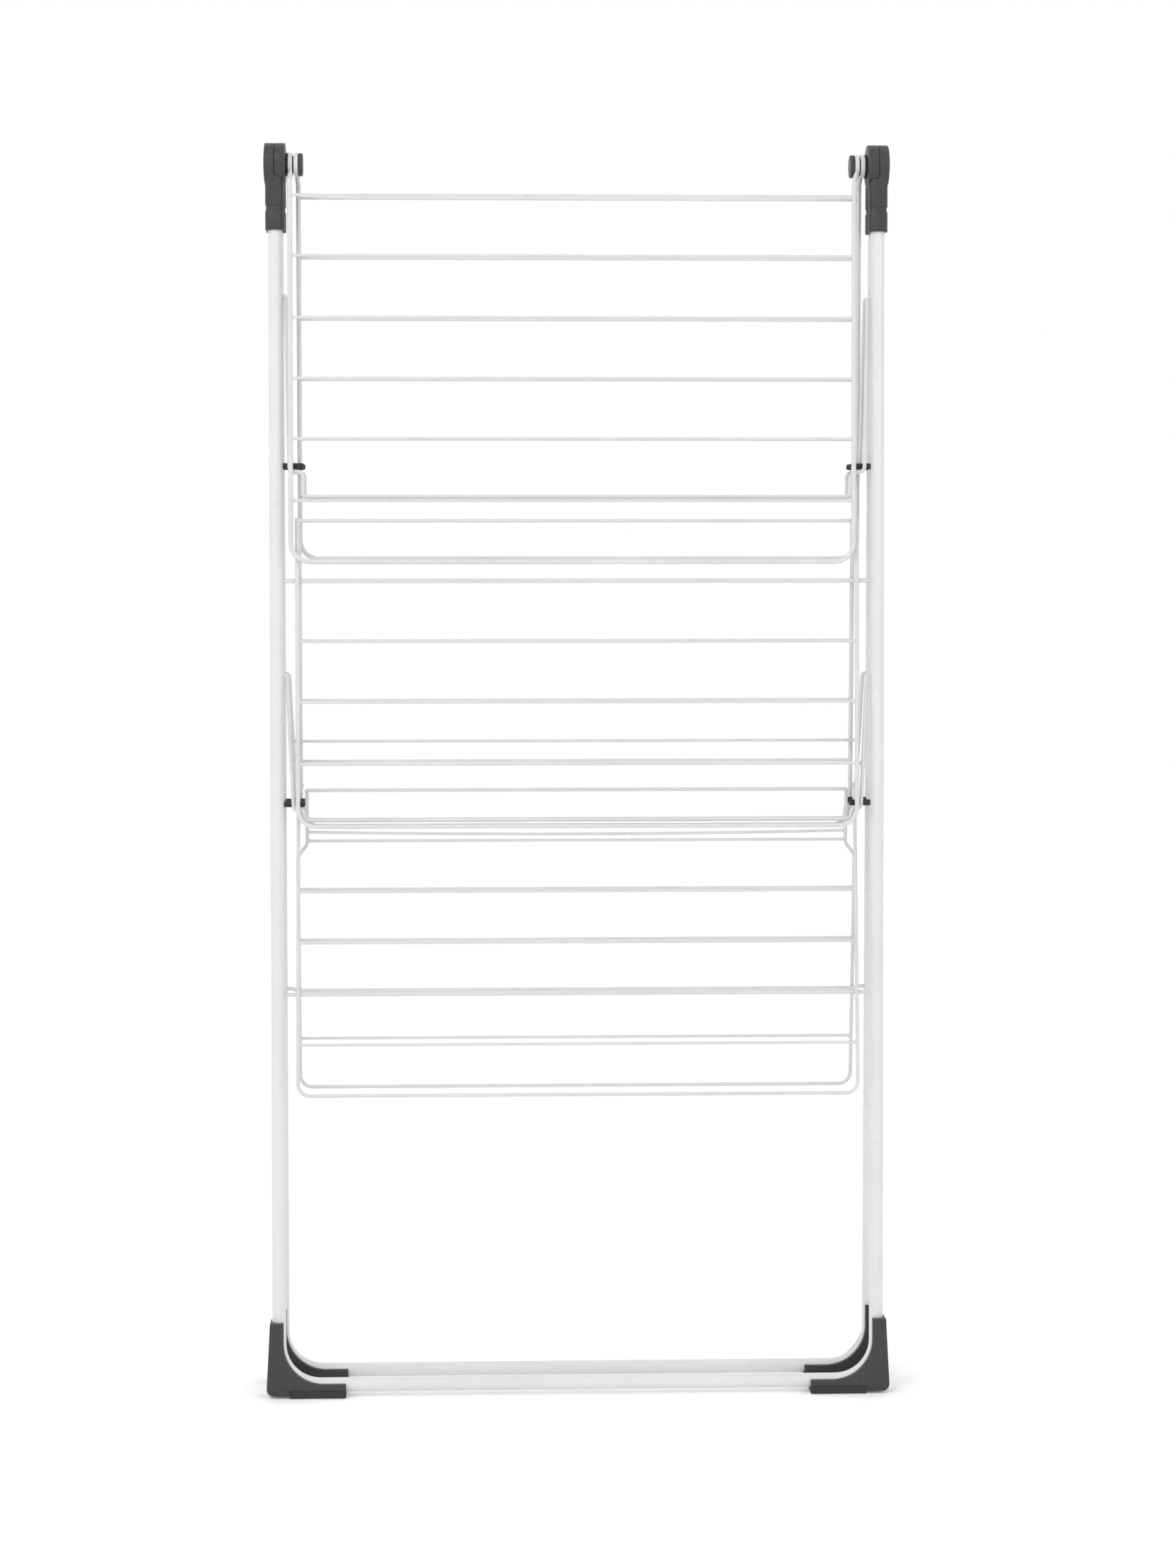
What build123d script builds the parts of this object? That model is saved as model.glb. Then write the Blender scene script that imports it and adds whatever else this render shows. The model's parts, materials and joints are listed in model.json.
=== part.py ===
from build123d import *
from math import cos, radians, sin
import os

# Folding tower drying rack, modelled folded flat and standing on its four feet.
# +X runs to the right along the drying lines, -Y is the front, +Z is up.
# The origin is under the middle of the rack, on the surface that it stands on.
# Each half hangs from the hinge axle. It is laid out in its own leg frame: x across,
# v outward from the axle and u down the leg. Then it is leaned out to stand on its feet.

# hinge axle
AXLE_Z = 1408.0
PIN_RADIUS = 8.0
PIN_INNER_END = 314.2
PIN_OUTER_END = 354.0
CAP_RADIUS = 24.3
CAP_INNER_FACE = 330.8
CAP_SPLIT = 344.0
CAP_OUTER_FACE = 357.0
CAP_DOME = 1.6
CAP_EDGE = 1.0
RUNNING_GAP = 0.08
FACE_GAP = 0.15

# legs
LEAN = 0.94
LEG_X = 343.5
LEG_V = 9.0
TUBE_RADIUS = 8.0
TUBE_WALL = 1.0
TUBE_TOP = 25.1
TUBE_BOTTOM = 1395.6
TUBE_BEND = 47.0
WIRE_END_X = 341.0
SOCKET_DEPTH = 15.0
WELD = 0.8

# plastic sleeve below each hinge cap
SLEEVE_INNER_V = 0.7
SLEEVE_OUTER_V = 19.3
SLEEVE_WIDTH = 22.4
SLEEVE_CORNER = 8.8
SLEEVE_START = 8.0
SLEEVE_END = 76.0
WAIST_TOP = 48.0
WAIST_BOTTOM = 53.5
WAIST_DEPTH = 0.9

# parking pegs
PEG_RADIUS = 3.5
PEG_TIP_RADIUS = 2.8
PEG_V = 8.0
PEG_ROOT_X = 337.5
PEG_TIP_X = 311.5
UPPER_PEG_U = 343.0
LOWER_PEG_U = 728.5

# top wings
TOP_WING_V = 20.6
TOP_WIRE_RADIUS = 2.75
TOP_WING_START = 21.0
TOP_WING_ENDS = {"front": 452.3, "rear": 448.6}
TOP_WING_BEND = 22.0
TOP_WING_NECK = 8.0
TOP_LINE_US = (37.0, 105.2, 175.1, 244.0, 312.3, 382.8)
REAR_LINE_RISE = 1.5
LINE_RADIUS = 1.7
EYE_RADIUS = 13.5
EYE_WIDTH = 4.6
OUTER_EYE_X = 326.4
INNER_EYE_X = 320.0
NECK_V = 9.0
NECK_U = 7.0
FRONT_SIDES = (-326.4, 315.0)
REAR_SIDES = (-318.8, 326.0)

# top struts
TOP_STRUT_U = 150.0
TOP_STRUT_LENGTH = 228.2
TOP_STRUT_SLOPE = 0.026
TOP_STRUT_X = 328.0
STRUT_RADIUS = 2.25
STRUT_ROOT_X = 331.7
STRUT_CROSSBAR_X = 313.0
STRUT_JOG_BELOW_PEG = 6.0
STRUT_JOG_DROP = 1.2
STRUT_BENDS = [3.2, 5.0, 5.0, 4.0]

# middle wings
MIDDLE_AXLE_U = 473.7
MIDDLE_WIRE_RADIUS = 2.5
MIDDLE_WING_X = 319.5
MIDDLE_WING_V = 13.8
MIDDLE_WING_SLOPE = 0.022
MIDDLE_WING_TOP = 402.0
MIDDLE_WING_ENDS = {"front": 753.7, "rear": 758.3}
MIDDLE_WING_BEND = 20.0
MIDDLE_LINE_US = (405.0, 543.0, 612.0, 682.5)

# middle struts
MIDDLE_STRUT_U = 581.0
MIDDLE_STRUT_LENGTHS = {"front": 165.8, "rear": 169.3}
MIDDLE_STRUT_SLOPE = 0.0338
MIDDLE_STRUT_X = 324.5
STOP_WIRE_DISTANCES = {"front": 102.0, "rear": 78.0}

# bottom shelf
SHELF_AXLE_U = 946.7
SHELF_AXLE_RADIUS = 2.25
SHELF_WIRE_RADIUS = 2.1
SHELF_LEAN = 5.71
SHELF_OFFSET = 4.15
SHELF_BEND = 14.0
FORK_X = 320.3
FORK_TIP_X = 314.4
FORK_TIP = 239.4
FORK_BOTTOM = -115.1
FORK_LINES = (-57.4, 58.8, 117.3)
TIP_BEND = 3.4
NESTED_X = 322.0
NESTED_END_X = 311.0
NESTED_END = 233.4
NESTED_BOTTOM = -119.0
NESTED_JOG = (156.0, 170.0)
NESTED_LOWER_LINES = (-60.5, 57.0, 117.1)
NESTED_UPPER_LINE = 174.0
NESTED_BOWED_LINE = 184.5
BOW = 3.2
AXLE_DIP = 2.2
AXLE_DIP_X = (330.0, 323.5)
AXLE_DIP_BEND = 4.5

# feet
FOOT_Y = 32.0
FOOT_DEPTH = 26.0
FOOT_TOP_Z = 86.0
FOOT_BOTTOM_Z = 2.6
FOOT_ARM_Z = 15.6
FOOT_ARM_X = 267.0
FOOT_INNER_X = 338.1
FOOT_INNER_RADIUS = 46.0
FOOT_TOP_X = 353.5
FOOT_OUTER_X = 357.5
FOOT_HEEL = 8.0
PAD_END_X = 331.0
PAD_HEIGHT = 8.5
PAD_PROUD = 0.6

os.makedirs("parts", exist_ok=True)


def save(name, *solids):
    """Write one node as a STEP file, as one solid or as a group of separate ones."""
    shape = solids[0] if len(solids) == 1 else Compound(children=list(solids))
    export_step(shape, f"parts/{name}.step")


def bent_wire(points, radius, bend):
    """Round bar along straight runs joined by arcs of one bend radius or a list of them."""
    path = FilletPolyline(*points, radius=bend)
    section = Plane(origin=path @ 0, z_dir=path % 0) * Circle(radius)
    return sweep(section, path=path)


def bar_x(radius, x_from, x_to, y, z):
    """Round bar parallel to X."""
    plane = Plane(origin=(x_from, y, z), x_dir=(0, 1, 0), z_dir=(1, 0, 0))
    return extrude(plane * Circle(radius), amount=x_to - x_from)


def ring_x(outer, inner, x_from, x_to):
    """Washer around the hinge axle, in leg coordinates."""
    return bar_x(outer, x_from, x_to, 0, 0) - bar_x(inner, x_from - 1, x_to + 1, 0, 0)


def cap_drum(split, face):
    """Half of the hinge drum, flat where it meets the other half and domed outside."""
    rim = face - CAP_DOME if face > split else face + CAP_DOME
    quarter = face + (rim - face) / 4
    outline = Polyline((face, 0), (split, 0), (split, CAP_RADIUS), (rim, CAP_RADIUS))
    outline += ThreePointArc((rim, CAP_RADIUS), (quarter, CAP_RADIUS / 2), (face, 0))
    drum = revolve(Plane.XZ * make_face(outline.edges()), axis=Axis.X)
    circles = drum.edges().filter_by(GeomType.CIRCLE)
    return fillet([edge for edge in circles if edge.radius > CAP_RADIUS - 0.1], CAP_EDGE)


class Half:
    """One half of the rack: side is -1 for the front half and +1 for the rear half."""

    def __init__(self, name, side):
        self.name = name
        self.side = side

    def point(self, x, v, u):
        return Vector(x, self.side * v, -u)

    def place(self, shape):
        """Lean a shape out from the hinge axle and lift it to its height."""
        return Pos(0, 0, AXLE_Z) * Rot(self.side * LEAN, 0, 0) * shape

    def save(self, name, *solids):
        save(f"{self.name}_{name}", *[self.place(solid) for solid in solids])

    def rod(self, x_from, x_to, v, u, radius):
        return bar_x(radius, x_from, x_to, self.side * v, -u)

    def leg_path(self, radius):
        """The leg's bent bar, from one hinge cap down, across the floor and up again."""
        points = [
            self.point(-LEG_X, LEG_V, TUBE_TOP),
            self.point(-LEG_X, LEG_V, TUBE_BOTTOM),
            self.point(LEG_X, LEG_V, TUBE_BOTTOM),
            self.point(LEG_X, LEG_V, TUBE_TOP),
        ]
        return bent_wire(points, radius, TUBE_BEND)

    def leg_tube(self):
        """Hollow tube with a hole in its inner wall for each wire that turns in it."""
        tube = self.leg_path(TUBE_RADIUS) - self.leg_path(TUBE_RADIUS - TUBE_WALL)
        holes = (
            (TOP_STRUT_U, LEG_V, STRUT_RADIUS),
            (MIDDLE_AXLE_U, LEG_V, MIDDLE_WIRE_RADIUS),
            (MIDDLE_STRUT_U, LEG_V, STRUT_RADIUS),
            (SHELF_AXLE_U, LEG_V, SHELF_AXLE_RADIUS),
            (UPPER_PEG_U, PEG_V, PEG_RADIUS - RUNNING_GAP),
            (LOWER_PEG_U, PEG_V, PEG_RADIUS - RUNNING_GAP),
        )
        for u, v, radius in holes:
            for x_side in (-1, 1):
                ends = sorted((x_side * LEG_X, x_side * (LEG_X - SOCKET_DEPTH)))
                tube -= self.rod(*ends, v, u, radius + RUNNING_GAP)
        return tube

    def sleeve_block(self, u_from, u_to, inset):
        """Rounded block around the tube, narrowed by an inset all round."""
        width = SLEEVE_WIDTH - 2 * inset
        depth = SLEEVE_OUTER_V - SLEEVE_INNER_V - 2 * inset
        middle = self.side * (SLEEVE_OUTER_V + SLEEVE_INNER_V) / 2
        outline = Pos(LEG_X, middle, -u_to) * RectangleRounded(width, depth, SLEEVE_CORNER - inset)
        return extrude(outline, amount=u_to - u_from)

    def hinge_cap(self):
        """Right-hand cap. The front one holds the outer half of the drum, the rear the inner."""
        if self.side < 0:
            other = (CAP_INNER_FACE - 5, CAP_SPLIT + FACE_GAP)
            bore = (CAP_SPLIT - 1, PIN_OUTER_END + FACE_GAP)
            drum = cap_drum(CAP_SPLIT + FACE_GAP, CAP_OUTER_FACE)
        else:
            other = (CAP_SPLIT - FACE_GAP, CAP_OUTER_FACE + 5)
            bore = (CAP_INNER_FACE - 1, CAP_SPLIT)
            drum = cap_drum(CAP_SPLIT - FACE_GAP, CAP_INNER_FACE)
        sleeve = self.sleeve_block(SLEEVE_START, WAIST_TOP, 0)
        sleeve += self.sleeve_block(WAIST_TOP, WAIST_BOTTOM, WAIST_DEPTH)
        sleeve += self.sleeve_block(WAIST_BOTTOM, SLEEVE_END, 0)
        sleeve -= bar_x(CAP_RADIUS + 0.4, *other, 0, 0)
        cap = drum + sleeve
        cap -= bar_x(PIN_RADIUS + RUNNING_GAP, *bore, 0, 0)
        socket = Pos(LEG_X, self.side * LEG_V, -SLEEVE_END - 1) * Circle(TUBE_RADIUS)
        return cap - extrude(socket, amount=SLEEVE_END + 1 - TUBE_TOP)

    def peg(self, u):
        """Right-hand parking peg: a short plastic bar with a rounded tip."""
        peg = self.rod(PEG_TIP_X, PEG_ROOT_X, PEG_V, u, PEG_RADIUS)
        tip = peg.edges().filter_by(GeomType.CIRCLE).sort_by(Axis.X)[0]
        return fillet(tip, PEG_TIP_RADIUS)

    def foot_parts(self):
        """Right-hand foot and its pad. The tube's bend sits in the foot's channel."""
        centre_x = FOOT_INNER_X - FOOT_INNER_RADIUS
        centre_z = FOOT_ARM_Z + FOOT_INNER_RADIUS
        outer_top = (FOOT_TOP_X, FOOT_TOP_Z)
        outer_bottom = (FOOT_OUTER_X, FOOT_BOTTOM_Z + FOOT_HEEL)
        heel = (FOOT_OUTER_X - FOOT_HEEL, FOOT_BOTTOM_Z)
        bend_middle = (
            centre_x + FOOT_INNER_RADIUS * sin(radians(45)),
            centre_z - FOOT_INNER_RADIUS * cos(radians(45)),
        )
        heel_drop = FOOT_HEEL * (1 - cos(radians(45)))
        heel_middle = (FOOT_OUTER_X - heel_drop, FOOT_BOTTOM_Z + heel_drop)
        outline = Polyline((FOOT_ARM_X, FOOT_ARM_Z), (FOOT_ARM_X, FOOT_BOTTOM_Z), heel)
        outline += ThreePointArc(heel, heel_middle, outer_bottom)
        outline += Polyline(outer_bottom, outer_top, (FOOT_INNER_X, FOOT_TOP_Z), (FOOT_INNER_X, centre_z))
        outline += ThreePointArc((FOOT_INNER_X, centre_z), bend_middle, (centre_x, FOOT_ARM_Z))
        outline += Line((centre_x, FOOT_ARM_Z), (FOOT_ARM_X, FOOT_ARM_Z))
        middle_y = self.side * FOOT_Y
        front = Plane(origin=(0, middle_y - FOOT_DEPTH / 2, 0), x_dir=(1, 0, 0), z_dir=(0, -1, 0))
        foot = extrude(front * make_face(outline.edges()), amount=-FOOT_DEPTH)
        pad_width = PAD_END_X - FOOT_ARM_X
        pad_place = Pos(FOOT_ARM_X + pad_width / 2, middle_y, PAD_HEIGHT / 2)
        pad = pad_place * Box(pad_width, FOOT_DEPTH + 2 * PAD_PROUD, PAD_HEIGHT)
        channel = self.place(self.leg_path(TUBE_RADIUS))
        foot = foot - channel - pad
        return foot, pad - channel

    def cross_wires(self, half_width, rows, radius):
        """Straight wires from side wire to side wire, one for each (v, u) of rows."""
        return [self.rod(-half_width, half_width, v, u, radius) for v, u in rows]

    def top_wing(self):
        """Long U of wire with a flattened eye at each end, hung on the hinge axle."""
        if self.side < 0:
            eyes = (-OUTER_EYE_X, INNER_EYE_X)
            sides = FRONT_SIDES
        else:
            eyes = (-INNER_EYE_X, OUTER_EYE_X)
            sides = REAR_SIDES
        v = TOP_WING_V
        end_u = TOP_WING_ENDS[self.name]
        rise = REAR_LINE_RISE if self.side > 0 else 0.0
        points = [
            self.point(eyes[0], NECK_V, NECK_U),
            self.point(sides[0], v, TOP_WING_START),
            self.point(sides[0], v, end_u),
            self.point(sides[1], v, end_u),
            self.point(sides[1], v, TOP_WING_START),
            self.point(eyes[1], NECK_V, NECK_U),
        ]
        bends = [TOP_WING_NECK, TOP_WING_BEND, TOP_WING_BEND, TOP_WING_NECK]
        frame = bent_wire(points, TOP_WIRE_RADIUS, bends)
        for x in eyes:
            frame += ring_x(EYE_RADIUS, PIN_RADIUS - 1, x - EYE_WIDTH / 2, x + EYE_WIDTH / 2)
            for face in (x - EYE_WIDTH / 2 - 2, x + EYE_WIDTH / 2):
                frame -= bar_x(EYE_RADIUS + 0.6, face, face + 2, 0, 0)
        for x in eyes:
            frame -= bar_x(PIN_RADIUS + RUNNING_GAP, x - 6, x + 6, 0, 0)
        self.save("top_wing_frame", frame)
        reach = TOP_WIRE_RADIUS - WELD
        ends = (sides[0] + reach, sides[1] - reach)
        self.save("top_wing_lines", *[self.rod(*ends, v, u - rise, LINE_RADIUS) for u in TOP_LINE_US])

    def strut(self, name, root_u, length, slope, side_x, peg_u):
        """U of wire whose ends turn outwards into the leg tubes and jog inwards below a peg."""
        tip_u = root_u + length
        jog_u = peg_u + STRUT_JOG_BELOW_PEG
        jog_end_u = jog_u + STRUT_JOG_DROP
        half = [
            self.point(-WIRE_END_X, LEG_V, root_u),
            self.point(-STRUT_ROOT_X, LEG_V, root_u),
            self.point(-side_x, LEG_V + slope * (jog_u - root_u), jog_u),
            self.point(-STRUT_CROSSBAR_X, LEG_V + slope * (jog_end_u - root_u), jog_end_u),
            self.point(-STRUT_CROSSBAR_X, LEG_V + slope * length, tip_u),
        ]
        other = [Vector(-p.X, p.Y, p.Z) for p in reversed(half)]
        bends = STRUT_BENDS + STRUT_BENDS[::-1]
        self.save(name, bent_wire(half + other, STRUT_RADIUS, bends))

    def middle_wing(self):
        """Wire frame on an axle wire that turns in the legs, with a short end above it."""
        def v_at(u):
            return MIDDLE_WING_V + MIDDLE_WING_SLOPE * (u - MIDDLE_AXLE_U)

        x = MIDDLE_WING_X
        end_u = MIDDLE_WING_ENDS[self.name]
        points = [
            self.point(-x, v_at(MIDDLE_WING_TOP), MIDDLE_WING_TOP),
            self.point(-x, v_at(end_u), end_u),
            self.point(x, v_at(end_u), end_u),
            self.point(x, v_at(MIDDLE_WING_TOP), MIDDLE_WING_TOP),
        ]
        self.save("middle_wing_frame", bent_wire(points, MIDDLE_WIRE_RADIUS, MIDDLE_WING_BEND))
        axle = self.rod(-WIRE_END_X, WIRE_END_X, LEG_V, MIDDLE_AXLE_U, MIDDLE_WIRE_RADIUS)
        self.save("middle_wing_axle", axle)
        rows = [(v_at(u), u) for u in MIDDLE_LINE_US]
        reach = x - MIDDLE_WIRE_RADIUS + WELD
        self.save("middle_wing_lines", *self.cross_wires(reach, rows, LINE_RADIUS))

    def shelf_point(self, x, s):
        """Point of the shelf half at a distance s above its axle wire, along the shelf."""
        slope = radians(SHELF_LEAN)
        v = LEG_V + SHELF_OFFSET * cos(slope) - s * sin(slope)
        u = SHELF_AXLE_U - SHELF_OFFSET * sin(slope) - s * cos(slope)
        return self.point(x, v, u)

    def shelf_lines(self, half_width, distances, radius):
        wires = []
        for s in distances:
            p = self.shelf_point(-half_width, s)
            wires.append(bar_x(radius, -half_width, half_width, p.Y, p.Z))
        return wires


def front_shelf(half):
    """Outer fork: its tips reach past the rear half's end wire and turn in behind it."""
    side = [
        half.shelf_point(-FORK_TIP_X, FORK_TIP),
        half.shelf_point(-FORK_X, FORK_TIP),
        half.shelf_point(-FORK_X, FORK_BOTTOM),
    ]
    other = [Vector(-p.X, p.Y, p.Z) for p in reversed(side)]
    bends = [TIP_BEND, SHELF_BEND, SHELF_BEND, TIP_BEND]
    half.save("shelf_frame", bent_wire(side + other, SHELF_WIRE_RADIUS, bends))
    axle = half.rod(-WIRE_END_X, WIRE_END_X, LEG_V, SHELF_AXLE_U, SHELF_AXLE_RADIUS)
    half.save("shelf_axle", axle)
    reach = FORK_X - SHELF_WIRE_RADIUS + WELD
    half.save("shelf_lines", *half.shelf_lines(reach, FORK_LINES, LINE_RADIUS))


def bowed_line(half, reach, distance):
    """Line across the shelf that bows slightly towards the axle in the middle."""
    ends = [half.shelf_point(x, distance) for x in (-reach, reach)]
    path = ThreePointArc(ends[0], half.shelf_point(0, distance - BOW), ends[1])
    return sweep(Plane(origin=path @ 0, z_dir=path % 0) * Circle(LINE_RADIUS), path=path)


def rear_shelf(half):
    """Nested half, narrowed towards its end wire so that it closes inside the fork."""
    side = [
        half.shelf_point(-NESTED_END_X, NESTED_END + SHELF_WIRE_RADIUS / 4),
        half.shelf_point(-NESTED_END_X, NESTED_JOG[1]),
        half.shelf_point(-NESTED_X, NESTED_JOG[0]),
        half.shelf_point(-NESTED_X, NESTED_BOTTOM),
    ]
    other = [Vector(-p.X, p.Y, p.Z) for p in reversed(side)]
    bends = [SHELF_BEND - 2, SHELF_BEND - 2, SHELF_BEND]
    half.save("shelf_frame", bent_wire(side + other, SHELF_WIRE_RADIUS, bends + bends[::-1]))
    dip_u = SHELF_AXLE_U + AXLE_DIP
    side = [
        half.point(-WIRE_END_X, LEG_V, SHELF_AXLE_U),
        half.point(-AXLE_DIP_X[0], LEG_V, SHELF_AXLE_U),
        half.point(-AXLE_DIP_X[1], LEG_V, dip_u),
    ]
    other = [Vector(-p.X, p.Y, p.Z) for p in reversed(side)]
    half.save("shelf_axle", bent_wire(side + other, SHELF_AXLE_RADIUS, AXLE_DIP_BEND))
    lower = half.shelf_lines(NESTED_X - SHELF_WIRE_RADIUS + WELD, NESTED_LOWER_LINES, LINE_RADIUS)
    reach = NESTED_END_X - SHELF_WIRE_RADIUS + WELD
    upper = half.shelf_lines(reach, (NESTED_UPPER_LINE,), LINE_RADIUS)
    bowed = bowed_line(half, reach, NESTED_BOWED_LINE)
    end = half.shelf_lines(NESTED_END_X + SHELF_WIRE_RADIUS / 4, (NESTED_END,), SHELF_WIRE_RADIUS)
    half.save("shelf_lines", *lower, *upper, bowed, *end)


def build_hinge():
    """Axle pins with their end caps, and the washers between the wing eyes."""
    lift = Pos(0, 0, AXLE_Z)
    eye = EYE_WIDTH / 2
    for name, side in (("left", -1), ("right", 1)):
        pin = lift * bar_x(PIN_RADIUS, *sorted((side * PIN_INNER_END, side * PIN_OUTER_END)), 0, 0)
        save(f"hinge_pin_{name}", pin)
        ends = sorted((side * (PIN_INNER_END - 1.8), side * (INNER_EYE_X - eye - 0.2)))
        cap = bar_x(EYE_RADIUS - 0.5, *ends, 0, 0)
        rim = cap.edges().filter_by(GeomType.CIRCLE)
        cap = lift * fillet(rim, 1.2) - pin
        save(f"hinge_end_cap_{name}", cap)
    for name, inner, outer, radius in (
        ("hinge_spacers", OUTER_EYE_X + eye + 0.2, CAP_INNER_FACE - 0.2, EYE_RADIUS),
        ("hinge_washers", INNER_EYE_X + eye + 0.2, OUTER_EYE_X - eye - 0.2, EYE_RADIUS - 3.5),
    ):
        rings = []
        for side in (-1, 1):
            ends = sorted((side * inner, side * outer))
            rings.append(lift * ring_x(radius, PIN_RADIUS, *ends))
        save(name, *rings)


def build_half(half):
    """One leg with everything that hangs from it."""
    half.save("leg_tube", half.leg_tube())
    cap = half.hinge_cap()
    half.save("hinge_cap_right", cap)
    half.save("hinge_cap_left", mirror(cap, about=Plane.YZ))
    for level, u in (("upper", UPPER_PEG_U), ("lower", LOWER_PEG_U)):
        peg = half.peg(u)
        half.save(f"{level}_pegs", mirror(peg, about=Plane.YZ), peg)
    foot, pad = half.foot_parts()
    save(f"{half.name}_foot_right", foot)
    save(f"{half.name}_foot_left", mirror(foot, about=Plane.YZ))
    save(f"{half.name}_pad_right", pad)
    save(f"{half.name}_pad_left", mirror(pad, about=Plane.YZ))
    half.top_wing()
    half.strut("top_strut", TOP_STRUT_U, TOP_STRUT_LENGTH, TOP_STRUT_SLOPE, TOP_STRUT_X, UPPER_PEG_U)
    half.middle_wing()
    length = MIDDLE_STRUT_LENGTHS[half.name]
    half.strut("middle_strut", MIDDLE_STRUT_U, length, MIDDLE_STRUT_SLOPE, MIDDLE_STRUT_X, LOWER_PEG_U)
    middle_stop_wire(half, STOP_WIRE_DISTANCES[half.name])


def middle_stop_wire(half, distance):
    """Wire across the middle strut, a distance below its pivot."""
    u = MIDDLE_STRUT_U + distance
    v = LEG_V + MIDDLE_STRUT_SLOPE * distance
    run = LOWER_PEG_U + STRUT_JOG_BELOW_PEG - MIDDLE_STRUT_U
    side_x = STRUT_ROOT_X - (STRUT_ROOT_X - MIDDLE_STRUT_X) * distance / run
    reach = side_x - STRUT_RADIUS + WELD
    half.save("middle_strut_stop", half.rod(-reach, reach, v, u, LINE_RADIUS))


build_hinge()
front = Half("front", -1)
rear = Half("rear", 1)
for half in (front, rear):
    build_half(half)
front_shelf(front)
rear_shelf(rear)
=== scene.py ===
import json
from math import pi, radians, sin

import bmesh
import bpy
from mathutils import Matrix, Vector


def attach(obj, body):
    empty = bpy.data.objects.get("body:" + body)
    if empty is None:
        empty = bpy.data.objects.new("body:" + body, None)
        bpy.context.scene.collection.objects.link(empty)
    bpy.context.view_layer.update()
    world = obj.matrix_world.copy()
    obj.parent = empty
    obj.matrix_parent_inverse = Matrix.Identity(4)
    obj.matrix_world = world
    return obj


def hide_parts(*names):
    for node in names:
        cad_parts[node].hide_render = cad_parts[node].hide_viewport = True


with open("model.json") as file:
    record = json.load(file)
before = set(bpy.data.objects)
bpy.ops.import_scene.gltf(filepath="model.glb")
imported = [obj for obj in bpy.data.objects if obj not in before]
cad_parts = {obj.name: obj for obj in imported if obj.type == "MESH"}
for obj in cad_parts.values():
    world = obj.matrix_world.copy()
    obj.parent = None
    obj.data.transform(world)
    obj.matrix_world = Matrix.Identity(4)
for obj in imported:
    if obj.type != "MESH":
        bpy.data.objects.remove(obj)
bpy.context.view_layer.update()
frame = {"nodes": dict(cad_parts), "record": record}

nodes = frame["nodes"]
scene = bpy.context.scene
scene.view_settings.view_transform = "Standard"


# Camera: level with the upper half of the rack, a little to the left of it and looking
# slightly down, far enough back that the two halves nearly coincide. The lens is
# shifted, because the frame is not centred on the line of sight.
camera_place = Vector((-0.1276, -3.399, 0.9398))
camera_down = radians(2.431)
camera_right = radians(1.851)
camera_roll = radians(-0.044)
camera_data = bpy.data.cameras.new("camera")
camera_data.sensor_fit = "HORIZONTAL"
camera_data.sensor_width = 36.0
camera_data.lens = 90.549
camera_data.shift_x = 0.02224
camera_data.shift_y = -0.06998
camera = bpy.data.objects.new("camera", camera_data)
camera.matrix_world = (
    Matrix.Translation(camera_place)
    @ Matrix.Rotation(-camera_right, 4, "Z")
    @ Matrix.Rotation(pi / 2 - camera_down, 4, "X")
    @ Matrix.Rotation(camera_roll, 4, "Z")
)
scene.collection.objects.link(camera)
scene.camera = camera


# Studio: an even white surround, one broad soft light from the upper left of the
# camera and a narrower, weaker one from the right.
world = bpy.data.worlds.new("studio")
scene.world = world
world.use_nodes = True
surround = world.node_tree.nodes["Background"]
surround.inputs["Color"].default_value = (1.0, 1.0, 1.0, 1.0)
surround.inputs["Strength"].default_value = 1.0


def soft_light(name, place, target, width, height, watts):
    """Rectangular soft light turned towards a point."""
    data = bpy.data.lights.new(name, "AREA")
    data.shape = "RECTANGLE"
    data.size = width
    data.size_y = height
    data.energy = watts
    light = bpy.data.objects.new(name, data)
    aim = Vector(target) - Vector(place)
    turn = aim.to_track_quat("-Z", "Y").to_matrix().to_4x4()
    light.matrix_world = Matrix.Translation(place) @ turn
    scene.collection.objects.link(light)


soft_light(
    "key_light", place=(-1.5, -2.2, 3.0), target=(0, 0, 0.9), width=1.2, height=1.6, watts=26
)
soft_light(
    "strip_light", place=(2.2, -3.2, 1.85), target=(0, 0, 0.95), width=0.10, height=1.3, watts=9
)


# Shader maths is written as expressions on a wrapped socket. The same wrapper makes
# every node of the materials below.
class Wire:
    """A node socket of one material, with the operators that the materials use."""

    def __init__(self, tree, socket):
        self.tree = tree
        self.socket = socket

    def math(self, operation, other, swap=False):
        node = self.tree.nodes.new("ShaderNodeMath")
        node.operation = operation
        pair = (other, self) if swap else (self, other)
        for slot, value in zip(node.inputs, pair):
            if isinstance(value, Wire):
                self.tree.links.new(value.socket, slot)
            else:
                slot.default_value = value
        return Wire(self.tree, node.outputs[0])

    def __add__(self, other):
        return self.math("ADD", other)

    __radd__ = __add__

    def __sub__(self, other):
        return self.math("SUBTRACT", other)

    def __rsub__(self, other):
        return self.math("SUBTRACT", other, swap=True)

    def __mul__(self, other):
        return self.math("MULTIPLY", other)

    __rmul__ = __mul__


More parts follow.
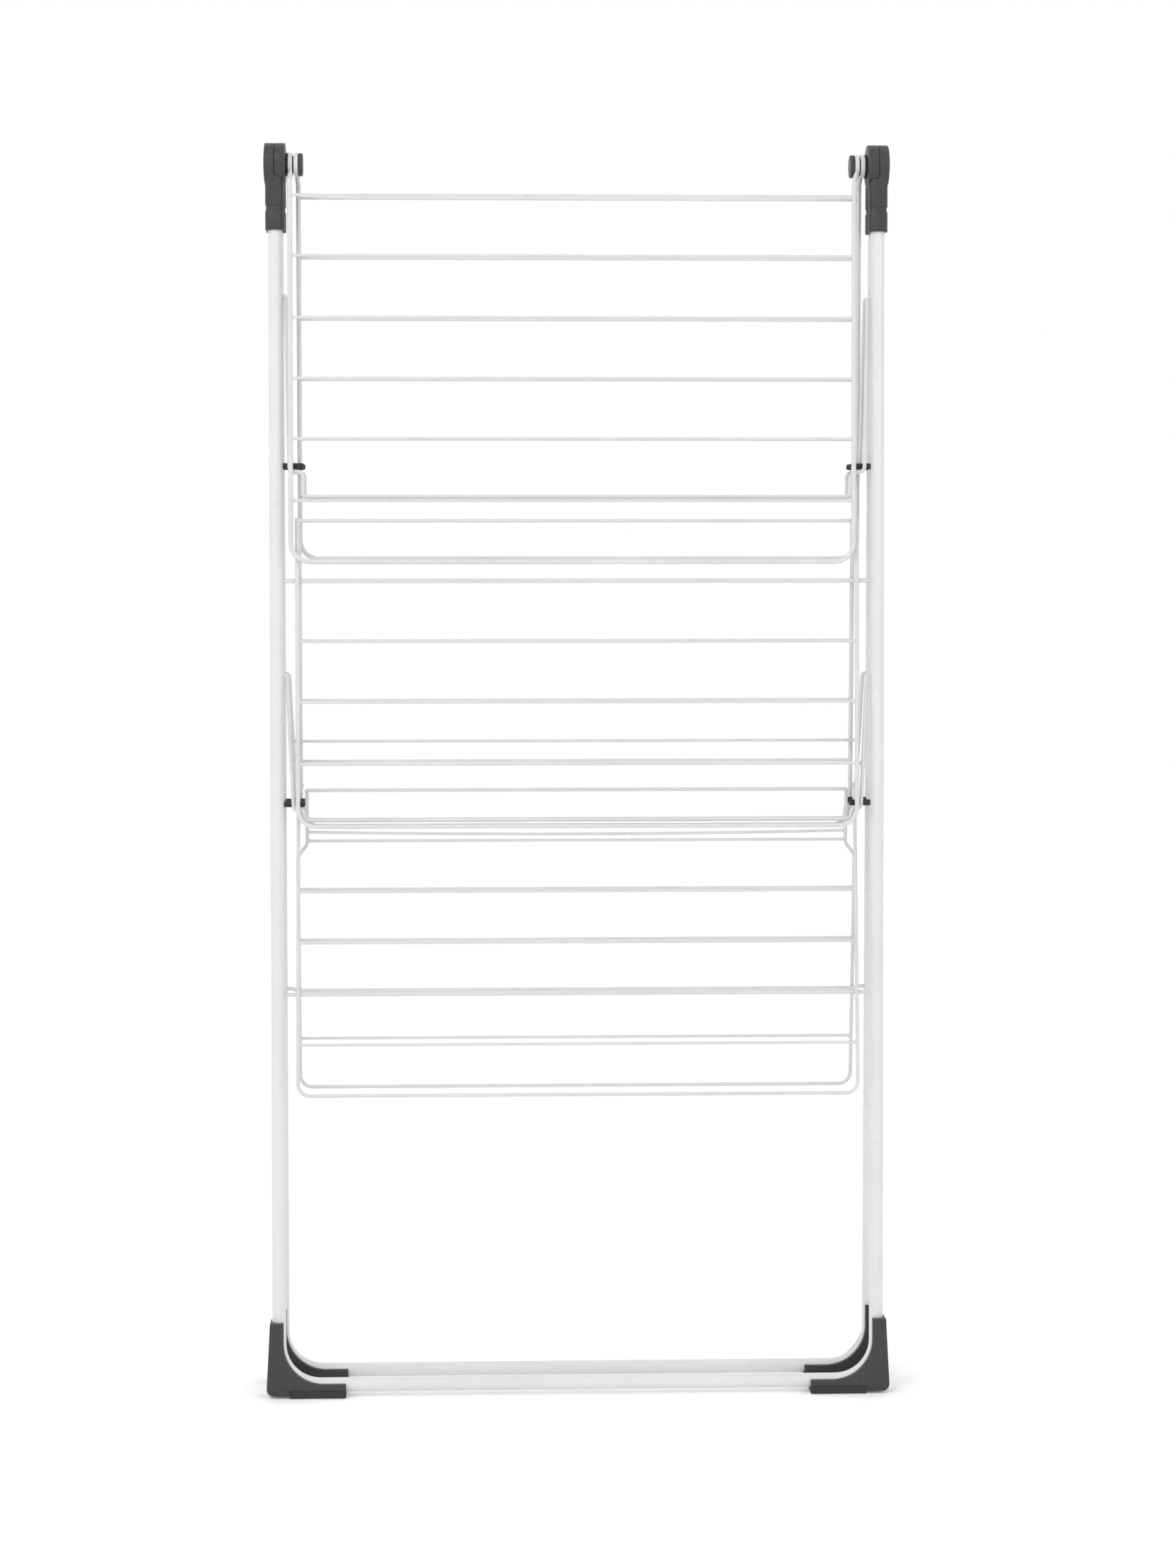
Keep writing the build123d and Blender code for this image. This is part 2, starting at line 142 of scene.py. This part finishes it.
class Finish:
    """A material with one Principled shader, built node by node."""

    def __init__(self, name):
        self.material = bpy.data.materials.new(name)
        self.material.use_nodes = True
        self.tree = self.material.node_tree
        self.shader = self.tree.nodes["Principled BSDF"]
        coordinates = self.tree.nodes.new("ShaderNodeTexCoord")
        self.place = Wire(self.tree, coordinates.outputs["Object"])

    def node(self, kind, output, settings=None, **inputs):
        """Any other node: its settings first, then the values or links of its sockets."""
        node = self.tree.nodes.new(kind)
        for key, value in (settings or {}).items():
            if key == "stops":
                ramp = node.color_ramp
                for element, (position, colour) in zip(ramp.elements, value):
                    element.position = position
                    element.color = (*colour, 1.0)
            else:
                setattr(node, key, value)
        for key, value in inputs.items():
            self.join(value, node.inputs[key.replace("_", " ")])
        return Wire(self.tree, node.outputs[output])

    def join(self, value, socket):
        if isinstance(value, Wire):
            self.tree.links.new(value.socket, socket)
        else:
            socket.default_value = value

    def set(self, **inputs):
        for key, value in inputs.items():
            self.join(value, self.shader.inputs[key.replace("_", " ")])

    def noise(self, scale, detail=2.0, roughness=0.5, stretch=None):
        """Noise from about 0 to 1 on object coordinates; scale is in cycles per metre."""
        place = self.place
        if stretch:
            place = self.node("ShaderNodeMapping", "Vector", Vector=place, Scale=stretch)
        return self.node(
            "ShaderNodeTexNoise", "Fac",
            Vector=place, Scale=scale, Detail=detail, Roughness=roughness,
        )

    def ramp(self, factor, dark, light):
        """Colour between two tones, reached a quarter in from either end of the factor."""
        stops = ((0.25, dark), (0.75, light))
        return self.node("ShaderNodeValToRGB", "Color", {"stops": stops}, Fac=factor)

    def bump(self, height, strength, distance):
        return self.node(
            "ShaderNodeBump", "Normal", Height=height, Strength=strength, Distance=distance
        )


# White epoxy coat on the leg tubes and wires: powder baked over drawn steel. It has a
# faint orange peel, a satin gloss and a slightly uneven tone where the film is thicker.
def enamel(name, dark, light, peel):
    """Coat between two tones, with peel cycles of orange peel per metre."""
    finish = Finish(name)
    cloud = finish.noise(scale=9.0, detail=3.0)
    fine = finish.noise(scale=120.0)
    grain = finish.noise(scale=peel, roughness=0.6)
    finish.set(
        Base_Color=finish.ramp(cloud * 0.6 + fine * 0.4, dark, light),
        Roughness=0.27 + cloud * 0.10 + fine * 0.06,
        Normal=finish.bump(grain, strength=0.10, distance=0.00012),
        Coat_Weight=0.25,
        Coat_Roughness=0.12,
        IOR=1.5,
    )
    return finish.material


tube_enamel = enamel(
    "tube_enamel", dark=(0.62, 0.62, 0.63), light=(0.70, 0.70, 0.705), peel=900.0
)
# The wires carry the same white coat, given darker tones as painted shade: the darker tones
# stand in for the shade along the thin wires and under them.
shaded_wire_enamel = enamel(
    "shaded_wire_enamel", dark=(0.55, 0.555, 0.56), light=(0.66, 0.66, 0.665), peel=1400.0
)


# Moulded plastic of the caps, feet, pegs, spacers and washers, and the rubber of the
# pads: both carry the spark-eroded grain of the mould, and faint upright flow marks.
def moulded(name, dark, light, rough):
    """Plastic or rubber between two tones; rough is its roughness before it varies."""
    finish = Finish(name)
    cloud = finish.noise(scale=22.0, detail=3.0)
    grain = finish.noise(scale=1500.0, roughness=0.7)
    flow = finish.noise(scale=60.0, stretch=(6.0, 6.0, 0.5))
    finish.set(
        Base_Color=finish.ramp(cloud * 0.3 + grain * 0.4 + flow * 0.3, dark, light),
        Roughness=rough + cloud * 0.10 - grain * 0.06 + flow * 0.05,
        Normal=finish.bump(grain, strength=0.35, distance=0.0002),
        Specular_IOR_Level=0.45,
        IOR=1.49,
    )
    return finish.material


grey_plastic = moulded(
    "grey_plastic", dark=(0.018, 0.0185, 0.020), light=(0.048, 0.049, 0.052), rough=0.40
)
black_plastic = moulded(
    "black_plastic", dark=(0.008, 0.008, 0.0085), light=(0.016, 0.016, 0.017), rough=0.38
)
pad_rubber = moulded(
    "pad_rubber", dark=(0.018, 0.018, 0.019), light=(0.030, 0.030, 0.031), rough=0.62
)


# Zinc plating on the two steel hinge pins: bright, with fine marks from the lathe. Each
# node of the rack then takes the finish that its slot names.
zinc = Finish("zinc_steel")
zinc_marks = zinc.noise(scale=160.0, stretch=(14.0, 1.0, 1.0))
zinc.set(
    Base_Color=zinc.ramp(zinc_marks, dark=(0.50, 0.51, 0.53), light=(0.68, 0.69, 0.71)),
    Roughness=0.26 + zinc_marks * 0.16,
    Metallic=1.0,
    Normal=zinc.bump(zinc_marks, strength=0.15, distance=0.0001),
)

finish_of_slot = {
    "white_tube": tube_enamel,
    "white_wire": shaded_wire_enamel,
    "grey_plastic": grey_plastic,
    "black_plastic": black_plastic,
    "pad_rubber": pad_rubber,
    "zinc_steel": zinc.material,
}
slot_of = {part["node"]: part["material_slot"] for part in frame["record"]["subparts"]}
for name, slot in slot_of.items():
    coats = nodes[name].data.materials
    coats.clear()
    coats.append(finish_of_slot[slot])


# Mouldings: the hinge caps, feet, pads and end caps come out of steel moulds with every
# edge slightly rounded. Each one replaces its sharp-edged solid.
cap_edge = 0.0005
foot_edge = 0.0006
pad_edge = 0.0007
end_cap_edge = 0.0003
corner_angle = radians(40)       # an edge that turns more than this is rounded
end_cap_angle = radians(50)      # the same for the end caps
shading_angle = radians(40)
same_point = 0.00002             # corners closer together than this are one
same_plane = radians(0.8)        # faces nearer to one plane than this are one
body_of = {
    name: body
    for body, names in frame["record"]["behaviour"]["bodies"].items()
    for name in names
}


def moulding(name, edge, angle):
    """Copy of a solid with its seams welded, its flat faces whole and its edges rounded."""
    source = nodes[name]
    piece = bpy.data.objects.new(name + "_moulding", source.data.copy())
    scene.collection.objects.link(piece)
    shell = bmesh.new()
    shell.from_mesh(piece.data)
    bmesh.ops.remove_doubles(shell, verts=shell.verts, dist=same_point)
    bmesh.ops.dissolve_limit(
        shell, angle_limit=same_plane, verts=shell.verts, edges=shell.edges
    )
    shell.to_mesh(piece.data)
    shell.free()
    bpy.ops.object.select_all(action="DESELECT")
    bpy.context.view_layer.objects.active = piece
    piece.select_set(True)
    rounding = piece.modifiers.new("rounding", "BEVEL")
    rounding.width = edge
    rounding.segments = 3
    rounding.limit_method = "ANGLE"
    rounding.angle_limit = angle
    rounding.use_clamp_overlap = False
    bpy.ops.object.modifier_apply(modifier="rounding")
    bpy.ops.object.shade_smooth_by_angle(angle=shading_angle)
    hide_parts(name)
    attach(piece, body_of[name])


for half in ("front", "rear"):
    for hand in ("left", "right"):
        moulding(f"{half}_hinge_cap_{hand}", cap_edge, corner_angle)
        moulding(f"{half}_foot_{hand}", foot_edge, corner_angle)
        moulding(f"{half}_pad_{hand}", pad_edge, corner_angle)
for hand in ("left", "right"):
    moulding(f"hinge_end_cap_{hand}", end_cap_edge, end_cap_angle)


# Weld beads: every line is resistance welded to its side wires, and the metal squeezed
# out of the joint sets as a small smooth collar under the coat.
line_bead = 0.0022               # radius
stop_bead = 0.0021
bead_inset = 0.0012              # from the tip of a wire in to the middle of its bead
bead_width = 0.75                # along the wire, where 1 is the bead's radius
bead_squash = 0.95               # across the wire, the narrower way
swell_range = 0.10               # how much the radius varies either way
swell_step = 2.4                 # angle from one bead to the next, for the radius
turn_step = 0.9                  # the same for the turn about the wire
row_gap = 0.0016                 # points with less height than this between them share a row
rim_depth = 0.001                # points this close to the tip of a wire are on its rim


def wire_ends(name):
    """Centre of the bead at both ends of each wire that a node runs from side to side."""
    rows = []
    for z, y, x in sorted((v.co.z, v.co.y, v.co.x) for v in nodes[name].data.vertices):
        if not rows or z - rows[-1][-1][0] > row_gap:
            rows.append([])
        rows[-1].append((z, y, x))
    ends = []
    for row in rows:
        for side in (-1, 1):
            tip = max(side * x for z, y, x in row)
            rim = [(z, y) for z, y, x in row if side * x > tip - rim_depth]
            z_middle = (min(z for z, y in rim) + max(z for z, y in rim)) / 2
            y_middle = (min(y for z, y in rim) + max(y for z, y in rim)) / 2
            ends.append(Vector((side * (tip - bead_inset), y_middle, z_middle)))
    return ends


def weld_beads(name, radius):
    """One mesh with a flattened collar at each wire end, no two quite the same size."""
    beads = bmesh.new()
    for number, place in enumerate(wire_ends(name)):
        swell = radius * (1.0 + swell_range * sin(swell_step * number))
        shape = Matrix.Diagonal((bead_width * swell, swell, bead_squash * swell, 1.0))
        turn = Matrix.Rotation(turn_step * number, 4, "X")
        bmesh.ops.create_uvsphere(
            beads, u_segments=12, v_segments=8, radius=1.0,
            matrix=Matrix.Translation(place) @ turn @ shape,
        )
    mesh = bpy.data.meshes.new(name + "_welds")
    beads.to_mesh(mesh)
    beads.free()
    mesh.shade_smooth()
    mesh.materials.append(shaded_wire_enamel)
    piece = bpy.data.objects.new(name + "_welds", mesh)
    scene.collection.objects.link(piece)
    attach(piece, body_of[name])


for half in ("front", "rear"):
    weld_beads(f"{half}_top_wing_lines", line_bead)
    weld_beads(f"{half}_middle_wing_lines", line_bead)
    weld_beads(f"{half}_middle_strut_stop", stop_bead)
    weld_beads(f"{half}_shelf_lines", line_bead)


# Floor: pale and matt, lit to the same white as the surround, so only the soft contact
# shadows under the pads show.
floor_radius = 9.0
floor_drop = 0.0003              # clear of the pads, so the faces do not fight
bpy.ops.object.select_all(action="DESELECT")
bpy.ops.mesh.primitive_circle_add(
    vertices=96, radius=floor_radius, fill_type="NGON", location=(0, 0, -floor_drop)
)
floor = bpy.context.object
floor.name = "floor"
bpy.ops.object.transform_apply(location=True, rotation=True, scale=True)
paper = Finish("floor_paper")
paper_tone = paper.noise(scale=3.0, detail=3.0)
paper.set(
    Base_Color=paper.ramp(paper_tone, dark=(0.93, 0.93, 0.93), light=(0.95, 0.95, 0.95)),
    Roughness=0.85 + paper_tone * 0.05,
    Emission_Color=(1.0, 1.0, 1.0, 1.0),
    Emission_Strength=0.08,
)
floor.data.materials.append(paper.material)
